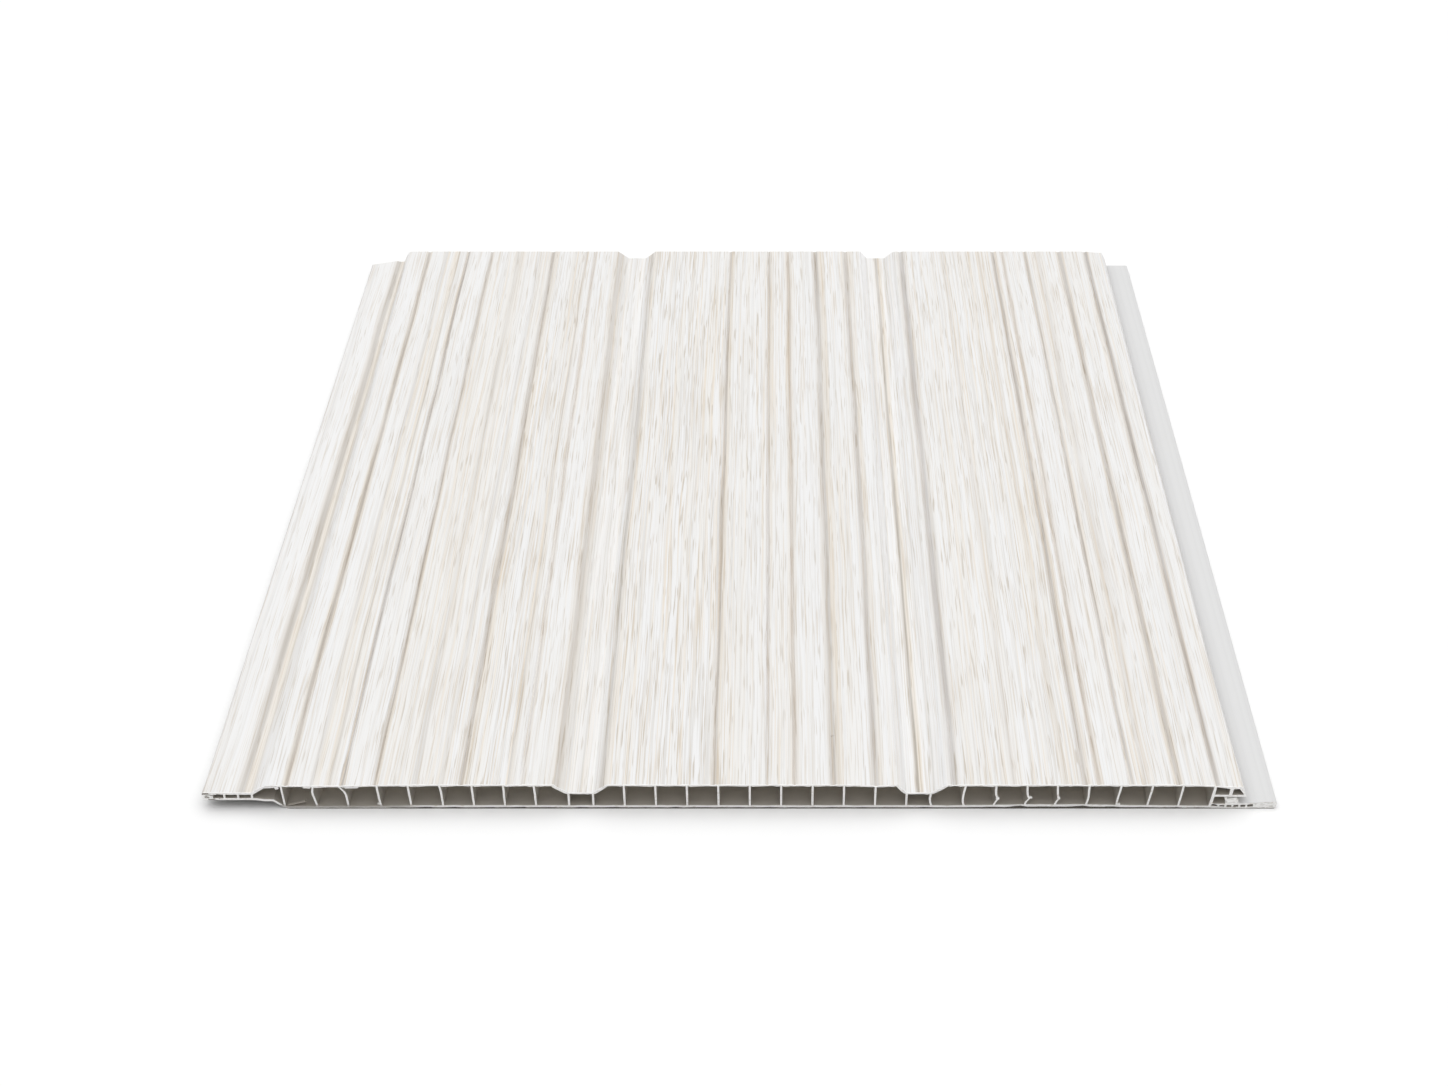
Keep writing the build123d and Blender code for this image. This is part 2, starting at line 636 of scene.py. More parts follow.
@dataclass(frozen=True)
class PrintedFilm:
    """Pale film on the face, printed with wood grain in strips with darker lines between them; a few
    lines are painted shade or painted light instead of print.
    """

    section: PanelSection
    white: Colour = srgb(236, 236, 236)
    worn: Colour = srgb(248, 248, 246)
    beige: Colour = srgb(232, 228, 221)
    tan: Colour = srgb(227, 215, 198)
    fibre: Colour = srgb(220, 218, 215)
    tick: Colour = srgb(206, 194, 177)
    pore: Colour = srgb(195, 186, 173)
    line_core: Colour = (0.515, 0.46, 0.395, 1.0)
    line_cold: Colour = (0.50, 0.46, 0.42, 1.0)
    line_warm: Colour = (0.57, 0.46, 0.33, 1.0)
    line_pale: Colour = (0.5, 0.5, 0.5, 1.0)
    line_grey: Colour = (0.86, 0.82, 0.77, 1.0)
    line_tan: Colour = (0.89, 0.82, 0.72, 1.0)
    lines_per_ramp: int = 4
    one_sided: tuple[float, ...] = (-0.6, -0.36, -0.12, 0.1, 0.3, 0.6, 0.95)
    even_sided: tuple[float, ...] = (-0.75, -0.38, -0.12, 0.12, 0.38, 0.75)
    wander: Streaks = Streaks(16.0, 60.0, 3.1, 1.0)
    wander_width: float = 1.3
    bands: Streaks = Streaks(1.8, 260.0, 11.7, 2.0, 0.40, 0.66)
    tans: Streaks = Streaks(0.62, 110.0, 37.3, 2.0, 0.54, 0.64)
    fibres: Streaks = Streaks(0.4, 76.0, 23.9, 2.0, 0.48, 0.66)
    crowd: Streaks = Streaks(2.0, 60.0, 67.8, 1.0, 0.36, 0.62, low=0.5)
    ticks: Streaks = Streaks(0.33, 28.0, 51.2, 1.0, 0.55, 0.68)
    pores: Streaks = Streaks(0.3, 10.0, 95.6, 0.0, 0.66, 0.78)
    fade: Streaks = Streaks(5.0, 42.0, 83.4, 2.0, 0.25, 0.7, low=0.65)
    torn: Streaks = Streaks(1.4, 3.0, 41.9, 3.0)
    worn_width: float = 0.3
    worn_blur: float = 0.1
    roughness: Span = (0.46, 0.56)
    relief: float = 0.02 * MM

    def line_stops(self, line: PrintLine) -> list[tuple[float, Colour]]:
        """Shade one printed line from its left to its right.

        Args:
            line: The line.

        Returns:
            Places across in millimetres, with the colours there to multiply the film by.
        """
        middles = {TanSide.THROUGH: self.line_warm, TanSide.NONE: self.line_cold}
        shades = (middles.get(line.tan, self.line_core), self.line_grey, self.line_tan)
        if line.strength < 0:
            shades = (self.line_pale,) * 3
        core, grey, tan = (tuple(1 + line.strength * (c - 1) for c in shade) for shade in shades)
        if line.tan in (TanSide.LEFT, TanSide.RIGHT):
            row = list(zip(self.one_sided, (WHITE, grey, core, core, tan, tan, WHITE)))
        else:
            edge = grey if line.tan is TanSide.NONE else tan
            row = list(zip(self.even_sided, (WHITE, edge, core, core, edge, WHITE)))
        if line.tan is TanSide.LEFT:
            row = [(-at, colour) for at, colour in reversed(row)]
        return [(line.place + at * line.width, colour) for at, colour in row]

    def lines(self, sheet: ShaderSheet, across: object, share: object) -> Socket:
        """Draw the lines: mostly print, with some painted shade and painted light.

        Args:
            sheet: Sheet to draw on.
            across: Place across in millimetres.
            share: How strongly the lines show there.

        Returns:
            A colour to multiply the film by.
        """
        tint = WHITE
        for start in range(0, len(FILM_LINES), self.lines_per_ramp):
            some = FILM_LINES[start : start + self.lines_per_ramp]
            stops = [stop for line in some for stop in self.line_stops(line)]
            tint = sheet.mix(1.0, tint, sheet.ramp(across, stops), "MULTIPLY")
        return sheet.mix(share, WHITE, tint)

    def make(self) -> Material:
        """Build the film's material."""
        sheet = ShaderSheet("printed_film")
        across, along, _ = sheet.place(self.section.middle)
        wander = sheet.math("SUBTRACT", sheet.noise(across, along, self.wander), 0.5)
        bent = sheet.math("ADD", across, sheet.math("MULTIPLY", wander, self.wander_width))

        stops = [(s.left, (s.beige, s.grain, s.ticks, 1.0)) for s in FILM_STRIPS]
        strip = sheet.node("ShaderNodeSeparateColor")
        sheet.feed(strip.inputs[0], sheet.ramp(bent, stops, held=True))
        beige_share, grain_share, tick_share = strip.outputs

        layers = (self.bands, self.tans, self.fibres, self.crowd, self.ticks, self.pores)
        masks = [sheet.streaks(bent, along, layer) for layer in layers]
        bands, tans, fibres, crowd, ticks, pores = masks
        ticks = sheet.math("MULTIPLY", ticks, crowd)
        colour = self.white
        for ink, mask, share in (
            (self.beige, bands, beige_share),
            (self.tan, tans, beige_share),
            (self.fibre, fibres, grain_share),
            (self.tick, ticks, tick_share),
            (self.pore, pores, tick_share),
        ):
            colour = sheet.mix(sheet.math("MULTIPLY", mask, share), colour, ink)

        fade = sheet.streaks(across, along, self.fade)
        colour = sheet.mix(1.0, colour, self.lines(sheet, bent, fade), "MULTIPLY")
        torn = sheet.math("MULTIPLY", sheet.noise(across, along, self.torn), 2 * self.worn_width)
        inward = sheet.math("SUBTRACT", sheet.inward(along, self.section.length), torn)
        edge = sheet.rise(inward, -self.worn_blur, self.worn_blur, 1.0, 0.0)
        colour = sheet.mix(edge, colour, self.worn)
        height = sheet.math("SUBTRACT", 1.0, sheet.math("MAXIMUM", fibres, ticks))
        return sheet.finish(colour, sheet.rise(fibres, 0.0, 1.0, *self.roughness), height, self.relief)


@dataclass(frozen=True)
class BarePvc:
    """Plain light grey PVC of the flange, the back and the joint, with faint lines of the die."""

    section: PanelSection
    pale: Colour = srgb(219, 219, 219)
    dull: Colour = srgb(213, 213, 213)
    die_lines: Streaks = Streaks(1.3, 1.0, 5.5, 3.0, 0.35, 0.7)
    die_gloss: Streaks = Streaks(1.3, 1.0, 5.5, 3.0, 0.3, 0.7, low=0.4, high=0.5)

    def make(self) -> Material:
        """Build the bare PVC's material."""
        sheet = ShaderSheet("bare_pvc")
        across, _, _ = sheet.place(self.section.middle)
        colour = sheet.mix(sheet.streaks(across, 0.0, self.die_lines), self.pale, self.dull)
        return sheet.finish(colour, sheet.streaks(across, 0.0, self.die_gloss))


@dataclass(frozen=True)
class CellWall:
    """Inside of the cells: grey painted shade just behind the sawn ends, and clean pale PVC deeper in.
    """

    section: PanelSection
    name: str = "cell_wall"
    mouth_shade: Colour = srgb(171, 165, 156)
    deep: Colour = srgb(232, 226, 216)
    mouth_depth: float = 8.0
    roughness: float = 0.6

    def make(self) -> Material:
        """Build the cell walls' material."""
        sheet = ShaderSheet(self.name)
        _, along, _ = sheet.place(self.section.middle)
        inward = sheet.inward(along, self.section.length)
        # painted shade: the colour darkens towards the sawn ends; for the back skin this is shade under
        # the lip and a contact shadow along the foot
        colour = sheet.mix(sheet.rise(inward, 0.0, self.mouth_depth), self.mouth_shade, self.deep)
        return sheet.finish(colour, self.roughness)


@dataclass(frozen=True)
class BackSkin(CellWall):
    """Underside and the foot of the sawn ends: painted shade near the ends, and plain grey PVC further
    in.
    """

    name: str = "back_skin"
    mouth_shade: Colour = srgb(82, 78, 73)
    deep: Colour = srgb(208, 207, 204)
    mouth_depth: float = 14.0


@dataclass(frozen=True)
class SawnEdge:
    """Sawn PVC at the ends: bright, marked by the teeth, crushed towards the sides, and darker grey low
    down on the left.
    """

    section: PanelSection
    bright: Colour = srgb(253, 252, 250)
    soiled: Colour = srgb(228, 223, 215)
    crushed: Colour = srgb(138, 132, 124)
    lip_crush: float = -129.5
    flange_crush: float = 123.5
    flange_share: float = 0.3
    crush_run: float = 1.5
    plain_from: float = -78.0
    plain_run: float = 10.0
    low_grey_share: float = 0.6
    low_grey_heights: Span = (1.0, 1.5)
    teeth: Streaks = Streaks(0.5, 2.2, 7.7, 3.0)
    specks: Streaks = Streaks(1.6, 0.8, 19.1, 2.0, 0.55, 0.75)
    dents: Streaks = Streaks(1.1, 0.45, 29.3, 2.0, 0.48, 0.60)
    roughness: float = 0.7
    relief: float = 0.06 * MM

    def make(self) -> Material:
        """Build the sawn edges' material."""
        sheet = ShaderSheet("sawn_edge")
        across, _, up = sheet.place(self.section.middle)
        at_lip = sheet.rise(across, self.lip_crush - self.crush_run, self.lip_crush, 1.0, 0.0)
        flange_end = self.flange_crush + self.crush_run
        at_flange = sheet.rise(across, self.flange_crush, flange_end, 0.0, self.flange_share)
        dents = sheet.streaks(across, up, self.dents)
        dents = sheet.math("MULTIPLY", dents, sheet.math("MAXIMUM", at_lip, at_flange))
        # darker grey on the lower part of the sawn ends on the left, fading out towards the middle
        low_grey_end = self.plain_from - self.plain_run
        low_grey = sheet.rise(across, low_grey_end, self.plain_from, self.low_grey_share, 0.0)
        low_grey = sheet.math("MULTIPLY", sheet.rise(up, *self.low_grey_heights, 1.0, 0.0), low_grey)
        colour = sheet.mix(sheet.streaks(across, up, self.specks), self.bright, self.soiled)
        colour = sheet.mix(sheet.math("MAXIMUM", dents, low_grey), colour, self.crushed)
        return sheet.finish(colour, self.roughness, sheet.noise(across, up, self.teeth), self.relief)


@dataclass(frozen=True)
class WebBend:
    """Sideways shifts of one web at the front end, in millimetres, from its head to its foot.

    The webs are counted from the step on the left.
    """

    web: int
    shifts: tuple[float, ...]


WEB_BENDS = (
    WebBend(1, (-0.93, -0.90, -0.87, -0.84, -0.80, -0.78)),
    WebBend(2, (-0.80, -1.15, -1.10, -0.86, -0.68, -0.50)),
    WebBend(3, (-2.10, -1.00, -0.70, -0.60, -0.56, -0.54)),
    WebBend(4, (-0.54, -0.50, -0.45, -0.40, -0.30, -0.10)),
    WebBend(5, (-0.66, -0.61, -0.56, -0.51, -0.47, -0.42)),
    WebBend(6, (-0.69, -0.42, -0.36, -0.33, -0.31, -0.30)),
    WebBend(7, (-0.44, -0.42, -0.41, -0.40, -0.38, -0.37)),
    WebBend(8, (-0.44, -0.38, -0.46, -0.44, -0.42, -0.42)),
    WebBend(9, (-0.64, -0.60, -0.50, -0.54, -0.50, -0.47)),
    WebBend(22, (0.00, 0.00, -0.10, -0.27, -0.15, 0.22)),
    WebBend(23, (0.66, 0.42, 0.24, 0.15, 0.20, 0.50)),
    WebBend(24, (0.47, 0.45, 0.55, 1.13, 0.60, 0.17)),
    WebBend(25, (0.37, 0.45, 0.62, 1.05, 0.40, 0.10)),
    WebBend(26, (0.10, 0.18, 0.32, 0.60, 0.15, -0.20)),
    WebBend(27, (0.10, 0.14, 0.20, 0.15, 0.00, -0.20)),
    WebBend(28, (0.22, 0.05, -0.15, -0.30, -0.40, -0.40)),
    WebBend(29, (0.24, 0.10, -0.05, -0.20, -0.33, -0.47)),
    WebBend(30, (0.00, -0.10, -0.22, -0.34, -0.46, -0.56)),
    WebBend(31, (0.27, 0.14, 0.00, -0.14, -0.27, -0.40)),
)


@dataclass(frozen=True)
class MapRows:
    """Rows of the map for baking, each with where it starts and how high it is."""

    film: Span = (0.205, 0.79)
    cell: Span = (0.172, 0.014)
    back: Span = (0.145, 0.01)
    bare: Span = (0.1, 0.04)
    far_end: Span = (0.05, 0.03)
    near_end: Span = (0.01, 0.03)
    margin: float = 0.003


@dataclass
class PanelExtrusion:
    """The panel itself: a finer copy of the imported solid, worn at its ends and dressed."""

    section: PanelSection
    name: str = "panel_extrusion"
    end_cuts: tuple[float, ...] = (0.5 * MM, 1.4 * MM, 3 * MM, 6 * MM, 11 * MM, 18 * MM)
    run_cuts: int = 7
    cell_cuts: tuple[float, ...] = (0.1, 0.35, 0.56, 0.64, 0.88)
    foot_cuts: tuple[float, ...] = (-2.6 * MM, -1.4 * MM, -0.4 * MM)
    floor_rows: Span = (0.05 * MM, 0.08 * MM)
    slot_cut: float = -1.5 * MM
    web_rows: tuple[float, ...] = (6.0 * MM, 4.6 * MM, 3.3 * MM, 2.0 * MM)
    film_slope: float = 0.25
    back_slope: float = -0.3
    blend_run: float = 0.2 * MM
    lean_reach: float = 16 * MM
    lean_limit: float = 2.2 * MM
    lean_start: Span = (0.3 * MM, 0.6 * MM)
    step_slide: float = 0.75 * MM
    foot_slide: float = 1.3 * MM
    shoulder_slide: float = 2.4 * MM
    lip_droop: float = 2.2 * MM
    lip_perk: float = 0.4 * MM
    crease_depth: float = 0.6 * MM
    crease_places: tuple[float, ...] = (-2.6 * MM, -1.2 * MM, 0.2 * MM, 1.6 * MM)
    front_dips: tuple[tuple[int, float, float], ...] = (
        (2, 0.35 * MM, 24 * MM),
        (20, 0.3 * MM, 9 * MM),
    )
    dip_reach: float = 40 * MM
    dip_limit: float = 0.5 * MM
    nose_fill: float = 1.5 * MM
    tip_push: float = 0.5 * MM
    nose_droop: float = 0.3 * MM
    nose_sink: float = 1.05 * MM
    nose_under: Span = (0.85, 0.73)
    flange_press: float = 0.8 * MM
    press_start: float = 5 * MM
    score_depth: float = 0.22 * MM
    score_heights: Span = (0.15 * MM, 0.35 * MM)
    score_slack: float = 0.4 * MM
    edge_curl: float = 0.4 * MM
    edge_lifts: tuple[tuple[int, float], ...] = (
        (1, 0.0), (2, 0.3), (4, 0.35), (5, 1.0), (23, 1.0),
        (25, 1.8), (27, 1.8), (29, 1.0), (31, 0.6), (32, 0.2),
    )
    lift_start: float = 0.3 * MM
    curl_reach: float = 6 * MM
    curl_shares: tuple[float, ...] = (0.75, 1.0, 0.0)
    chip_height: float = 0.14 * MM
    chip_reach: float = 1.5 * MM
    first_chip: int = 4
    chip_rise: float = 0.4
    chip_end: float = 0.6
    ripple_level: float = 0.55
    ripple_swing: float = 0.45
    ripple_rate: float = 2.4
    skin_wear: float = 0.25 * MM
    skin_slack: float = 0.03 * MM
    wear_reach: float = 4 * MM
    saw_depth: float = 0.22 * MM
    tooth_size: float = 1.7 * MM
    smooth_angle: float = math.radians(30)
    map_rows: MapRows = MapRows()
    piece: Piece = field(init=False)

    def copy_solid(self) -> None:
        """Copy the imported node's mesh into a new piece, with its doubles merged."""
        node = frame["nodes"][NODE]
        self.piece = bpy.data.objects.new(self.name, node.data.copy())
        bpy.context.scene.collection.objects.link(self.piece)
        self.piece.data.materials.clear()
        select_only(self.piece)
        bpy.ops.mesh.customdata_custom_splitnormals_clear()
        with edit_mode(self.piece):
            bpy.ops.mesh.select_all(action="SELECT")
            bpy.ops.mesh.remove_doubles(threshold=MERGE_DISTANCE)
            pick_faces(self.piece, lambda face: abs(face.normal.y) < END_FACING)
            bpy.ops.mesh.tris_convert_to_quads(face_threshold=math.pi, shape_threshold=math.pi)

    def assign(self, surface: Surface) -> None:
        """Give the picked faces the finish of a surface."""
        self.piece.active_material_index = surface.value
        bpy.ops.object.material_slot_assign()

    def on_film(self, face: Face) -> bool:
        """Tell whether a face of the bare outside looks up and lies above the flange."""
        outside = face.material_index == Surface.BARE.value
        return outside and face.normal.z > self.film_slope and face.center.z > self.section.lip_low

    def in_slot(self, face: Face) -> bool:
        """Tell whether a face of the bare outside lies in the slot."""
        section = self.section
        outside = face.material_index == Surface.BARE.value
        under_nose = section.slot_wall - section.skin < face.center.x < section.nose_tip + self.slot_cut
        inside_skins = section.skin < face.center.z < section.thickness - section.skin
        return outside and under_nose and inside_skins

    def turned_down(self, face: Face) -> bool:
        """Tell whether a face of the bare outside looks down at the floor."""
        return face.material_index == Surface.BARE.value and face.normal.z < self.back_slope

    def at_foot(self, face: Face) -> bool:
        """Tell whether a face lies along the foot of a sawn end."""
        return face.material_index == Surface.SAWN.value and face.center.z < self.floor_rows[0]

    def sort_faces(self) -> None:
        """Give each face the finish of the surface that it belongs to."""
        for finish in (PrintedFilm, BarePvc, CellWall, SawnEdge, BackSkin):
            self.piece.data.materials.append(finish(self.section).make())
        with edit_mode(self.piece):
            pick_faces(self.piece, lambda face: abs(face.normal.y) > END_FACING)
            self.assign(Surface.SAWN)
            bpy.ops.mesh.hide()
            pick_faces(self.piece, lambda face: face.center.z < MERGE_DISTANCE)
            bpy.ops.mesh.select_linked()
            self.assign(Surface.BARE)
            bpy.ops.mesh.hide()
            bpy.ops.mesh.select_all(action="SELECT")
            self.assign(Surface.CELL)
            bpy.ops.mesh.hide()
            bpy.ops.mesh.reveal(select=False)
            pick_faces(self.piece, self.on_film)
            self.assign(Surface.FILM)
            # painted shade: the slot takes the cell walls' finish, grey near the ends as in the cells
            pick_faces(self.piece, self.in_slot)
            self.assign(Surface.CELL)
            # painted shade: faces that look down, and the foot of the sawn ends, take the back skin's
            # finish, dark near the ends as a contact shadow along the foot and as shade under the lip
            pick_faces(self.piece, lambda face: self.turned_down(face) or self.at_foot(face))
            self.assign(Surface.BACK)

    def cut_finer(self) -> None:
        """Cut the walls across, and the end zones into rows and columns, so that they can bend."""
        section = self.section
        zone = max(self.end_cuts)
        rings = [section.low.y + cut for cut in self.end_cuts]
        rings += [section.high.y - cut for cut in self.end_cuts]
        step = (section.length - 2 * zone) / (self.run_cuts + 1)
        rings += [section.low.y + zone + (i + 1) * step for i in range(self.run_cuts)]
        lines = [section.step_foot + cut for cut in self.foot_cuts] + [section.nose_tip + self.slot_cut]
        columns = [web + share * section.cell_pitch for web in section.webs for share in self.cell_cuts]
        columns = [x for x in columns if x < section.slot_wall]
        with edit_mode(self.piece):
            for x in lines:
                self.cut((x, 0, 0), (1, 0, 0))
            for y in rings:
                self.cut((0, y, 0), (0, 1, 0))
            pick_faces(self.piece, lambda face: section.from_end(face.center.y) > zone)
            bpy.ops.mesh.hide()
            for z in self.web_rows + self.floor_rows:
                self.cut((0, 0, z), (0, 0, 1))
            for x in columns:
                self.cut((x, 0, 0), (1, 0, 0))
            bpy.ops.mesh.reveal(select=False)

    @staticmethod
    def cut(place: Place, normal: Place) -> None:
        """Cut all the faces in view with a plane."""
        bpy.ops.mesh.select_all(action="SELECT")
        bpy.ops.mesh.bisect(plane_co=place, plane_no=normal, threshold=MERGE_DISTANCE)

    def lean(self, place: Vector) -> float:
        """Find how far the cell walls have moved sideways, which they have near the front end.

        Args:
            place: The place on the unworn panel.

        Returns:
            The shift to the right, or to the left where it is negative.
        """
        section = self.section
        near = 1 - smooth_step(section.from_front(place.y), 0, self.lean_reach)
        if near == 0:
            return 0.0
        rows = sorted([section.skin, *self.web_rows, section.thickness - section.skin])
        shifts = [0.0] * len(section.webs)
        for bend in WEB_BENDS:
            shifts[bend.web] = spread(place.z, rows, [shift * MM for shift in reversed(bend.shifts)])
        above_floor = smooth_step(place.z, *self.lean_start)
        below_face = smooth_step(section.thickness - place.z, *self.lean_start)
        return above_floor * below_face * spread(place.x, section.webs, shifts) * near

    def slide(self, place: Vector) -> float:
        """Find how far the step beside the lip stands to the left, more so towards the back.

        Args:
            place: The place on the unworn panel.

        Returns:
            The shift to the left there.
        """
        section = self.section
        back = section.from_front(place.y) / section.length
        foot = self.step_slide + back * (self.foot_slide - self.step_slide)
        places = [section.low.x, section.low.x + section.lip_bead, section.step_foot]
        places += [section.step_foot + section.step_run, section.webs[1] - section.skin]
        shift = spread(place.x, places, [0.0, self.step_slide, foot, back * self.shoulder_slide, 0.0])
        return shift * smooth_step(place.z, section.lip_low - section.skin, section.lip_low)

    def sag(self, place: Vector) -> float:
        """Find how far a place has sunk: the lip towards the back, the joint towards the front.

        Args:
            place: The place on the unworn panel.

        Returns:
            The fall there.
        """
        section = self.section
        back = section.from_front(place.y) / section.length
        if place.x < section.step_foot:
            lip_width = section.step_foot - section.low.x
            return self.lip_droop * back * (section.step_foot - place.x) / lip_width
        height = place.z / section.thickness
        last_cell = section.slot_wall - section.cell_pitch
        fall = self.nose_droop * height * smooth_step(place.x, last_cell, section.slot_wall)
        beyond = smooth_step(place.x, section.slot_wall, section.slot_wall + self.blend_run)
        if place.z > section.slot_middle:
            under = smooth_step(height, *self.nose_under)
            nose_fall = self.nose_droop + under * (self.nose_sink - self.nose_droop)
            fall += beyond * (nose_fall - fall)
        elif place.x > section.slot_wall:
            press = 1 - smooth_step(place.x, section.slot_wall + self.press_start, section.high.x)
            fall = self.flange_press * press * place.z / section.flange_thickness
        return fall * (1 - back)

    def crease(self, place: Vector) -> float:
        """Find how deep the lip's top is creased beside the step, more so towards the back.

        Args:
            place: The place on the unworn panel.

        Returns:
            The fall there.
        """
        section = self.section
        back = section.from_front(place.y) / section.length
        top = section.slot_middle + self.blend_run
        upper = smooth_step(place.z, section.lip_low + section.skin, top)
        places = [section.step_foot + shift for shift in self.crease_places]
        return self.crease_depth * back * upper * spread(place.x, places, [0.0, 1.0, 1.0, 0.0])

    def saw(self, place: Vector) -> float:
        """Find how far the saw has torn a place back from the end, above its foot."""
        torn = 0.5 + 0.5 * noise.noise(place / self.tooth_size)
        above_foot = place.z > self.floor_rows[0] + MERGE_DISTANCE
        at_end = self.section.from_end(place.y) < MERGE_DISTANCE
        return self.saw_depth * torn if above_foot and at_end else 0.0

    def score(self, place: Vector) -> float:
        """Find how much deeper a place lies, which it does at the bottom of each scored line.

        Args:
            place: The place on the unworn panel.

        Returns:
            The fall there.
        """
        section = self.section
        shallowest, deepest = self.score_heights
        if not shallowest < section.thickness - place.z < deepest:
            return 0.0
        across = place.x - section.middle
        scored = any(abs(across - line.place * MM) < self.score_slack for line in FILM_LINES)
        inward = smooth_step(section.from_end(place.y), self.blend_run, self.wear_reach)
        return self.score_depth * inward * scored

    def thin(self, place: Vector) -> float:
        """Find how far the skin over the cells is worn away from inside, at the sawn ends."""
        section = self.section
        ceiling = section.thickness - section.skin
        ceilings = (ceiling, ceiling - section.groove_depth)
        inside = any(abs(place.z - height) < self.skin_slack for height in ceilings)
        near = smooth_step(section.from_end(place.y), self.wear_reach, self.blend_run)
        return self.skin_wear * inside * near

    def dip(self, place: Vector) -> float:
        """Find how far the face has sunk along the front end, near some of its webs."""
        section = self.section
        near = smooth_step(section.from_front(place.y), self.dip_reach, 0.0)
        lip_top = section.lip_low + section.lip_thickness
        upper = smooth_step(place.z, lip_top, section.thickness - section.groove_depth)
        sunk = [
            depth * smooth_step(abs(place.x - section.webs[web]), reach, 0.0)
            for web, depth, reach in self.front_dips
        ]
        return near * upper * max(sunk)

    def fill(self, place: Vector) -> float:
        """Find how far the nose's slope stands to the right, which makes the nose blunter."""
        section = self.section
        if place.z < section.slot_middle:
            return 0.0
        near = smooth_step(section.from_front(place.y), self.dip_reach, 0.0)
        behind = section.nose_tip - place.x
        places = [0.0, section.nose_run, section.cell_pitch / 2 - section.skin / 2]
        push = near * self.tip_push
        return spread(behind, places, [push, push + self.nose_fill, 0.0])

    def perk(self, place: Vector) -> float:
        """Find how far the lip is bent up, which it is towards the front."""
        section = self.section
        front = 1 - section.from_front(place.y) / section.length
        ceiling = section.thickness - section.skin
        low = smooth_step(place.z, ceiling, ceiling - section.skin)
        beside = smooth_step(place.x, section.step_foot + section.step_run, section.step_foot)
        return self.lip_perk * front * low * beside

    def lift(self, place: Vector) -> float:
        """Find how far the back skin's sawn edge is raised, with a chip under each cell.

        Args:
            place: The place on the unworn panel.

        Returns:
            The rise there.
        """
        section = self.section
        if place.z < MERGE_DISTANCE:
            return 0.0
        curl = 1 - smooth_step(section.from_end(place.y), self.lift_start, self.curl_reach)
        heights = [self.floor_rows[1], section.skin, self.web_rows[-2]]
        low = spread(place.z, heights, list(self.curl_shares))
        places = [section.webs[web] for web, _ in self.edge_lifts]
        share_here = spread(place.x, places, [share for _, share in self.edge_lifts])
        rise = self.edge_curl * curl * low * share_here
        chipped = section.webs[self.first_chip] < place.x < section.slot_wall
        if chipped and place.z < section.skin / 2:
            near = 1 - smooth_step(section.from_end(place.y), self.lift_start, self.chip_reach)
            cells = (place.x - section.step_foot) / section.cell_pitch
            share = cells % 1.0
            ripple = self.ripple_level + self.ripple_swing * math.sin(self.ripple_rate * cells)
            chip = self.chip_height * share_here**2 * ripple * smooth_step(share, 0.0, self.chip_rise)
            rise += chip * near * (share < self.chip_end)
        return rise

    def push(self, group: str, axis: str, limit: float, depth: Callable[[Vector], float]) -> None:
        """Move the piece's points along an axis, each by its own share of a limit.

        Args:
            group: Name of the vertex group that holds the shares.
            axis: Axis to move along.
            limit: Shift of a point with a share of 1, which may be negative.
            depth: Gives each point's shift as a positive length.
        """
        shares = self.piece.vertex_groups.new(name=group)
        for point in self.piece.data.vertices:
            share = min(depth(point.co) / abs(limit), 1.0)
            if share > 0:
                shares.add([point.index], share, "REPLACE")
        select_only(self.piece)
        move = self.piece.modifiers.new(group, "DISPLACE")
        move.direction = axis
        move.mid_level = 0.0
        move.strength = limit
        move.vertex_group = group
        bpy.ops.object.modifier_apply(modifier=move.name)
        self.piece.vertex_groups.clear()

    def wear(self) -> None:
        """Bend and chip the piece as the saw and its weight have left it."""
        self.push("lean_left", "X", -self.lean_limit, lambda place: max(-self.lean(place), 0.0))
        self.push("lean_right", "X", self.lean_limit, lambda place: max(self.lean(place), 0.0))
        self.push("score", "Z", -self.score_depth, self.score)
        self.push("crease", "Z", -self.crease_depth, self.crease)
        self.push("slide", "X", -self.shoulder_slide, self.slide)
        self.push("thin", "Z", self.skin_wear, self.thin)
        self.push("perk", "Z", self.lip_perk, self.perk)
        self.push("lift", "Z", 2 * (self.edge_curl + self.chip_height), self.lift)
        self.push("dip", "Z", -self.dip_limit, self.dip)
        self.push("fill", "X", self.nose_fill + self.tip_push, self.fill)
        self.push("sag", "Z", -self.lip_droop, self.sag)
        self.push("saw_front", "Y", self.saw_depth, lambda place: self.saw(place) * (place.y < 0))
        self.push("saw_back", "Y", -self.saw_depth, lambda place: self.saw(place) * (place.y > 0))

    def map_spot(self, face: Face, place: Vector) -> Span:
        """Find where a corner of a face lies on the map for baking.

        Args:
            face: The face.
            place: The corner's place.

        Returns:
            Its places across and up the map.
        """
        section = self.section
        rows = self.map_rows
        surface = Surface(face.material_index)
        from_left = place.x - section.low.x
        across = from_left / section.width
        along = (place.y - section.low.y) / section.length
        if surface is Surface.FILM:
            row, run, rise = rows.film, across, along
        elif surface is Surface.BARE:
            row, rise = rows.bare, along
            run = (from_left + place.z) / (section.width + section.thickness)
        elif surface is Surface.CELL:
            row, run = rows.cell, along
            rise = (place.z - (place.x - face.center.x) / 2) / section.thickness
        elif surface is Surface.BACK and abs(face.normal.y) < END_FACING:
            row, run = rows.back, along
            rise = (from_left + 2 * place.z) / (section.width + 2 * section.thickness)
        else:
            row = rows.far_end if face.center.y > 0 else rows.near_end
            run, rise = across, place.z / section.thickness
        start, height = row
        return rows.margin + (1 - 2 * rows.margin) * run, start + height * rise

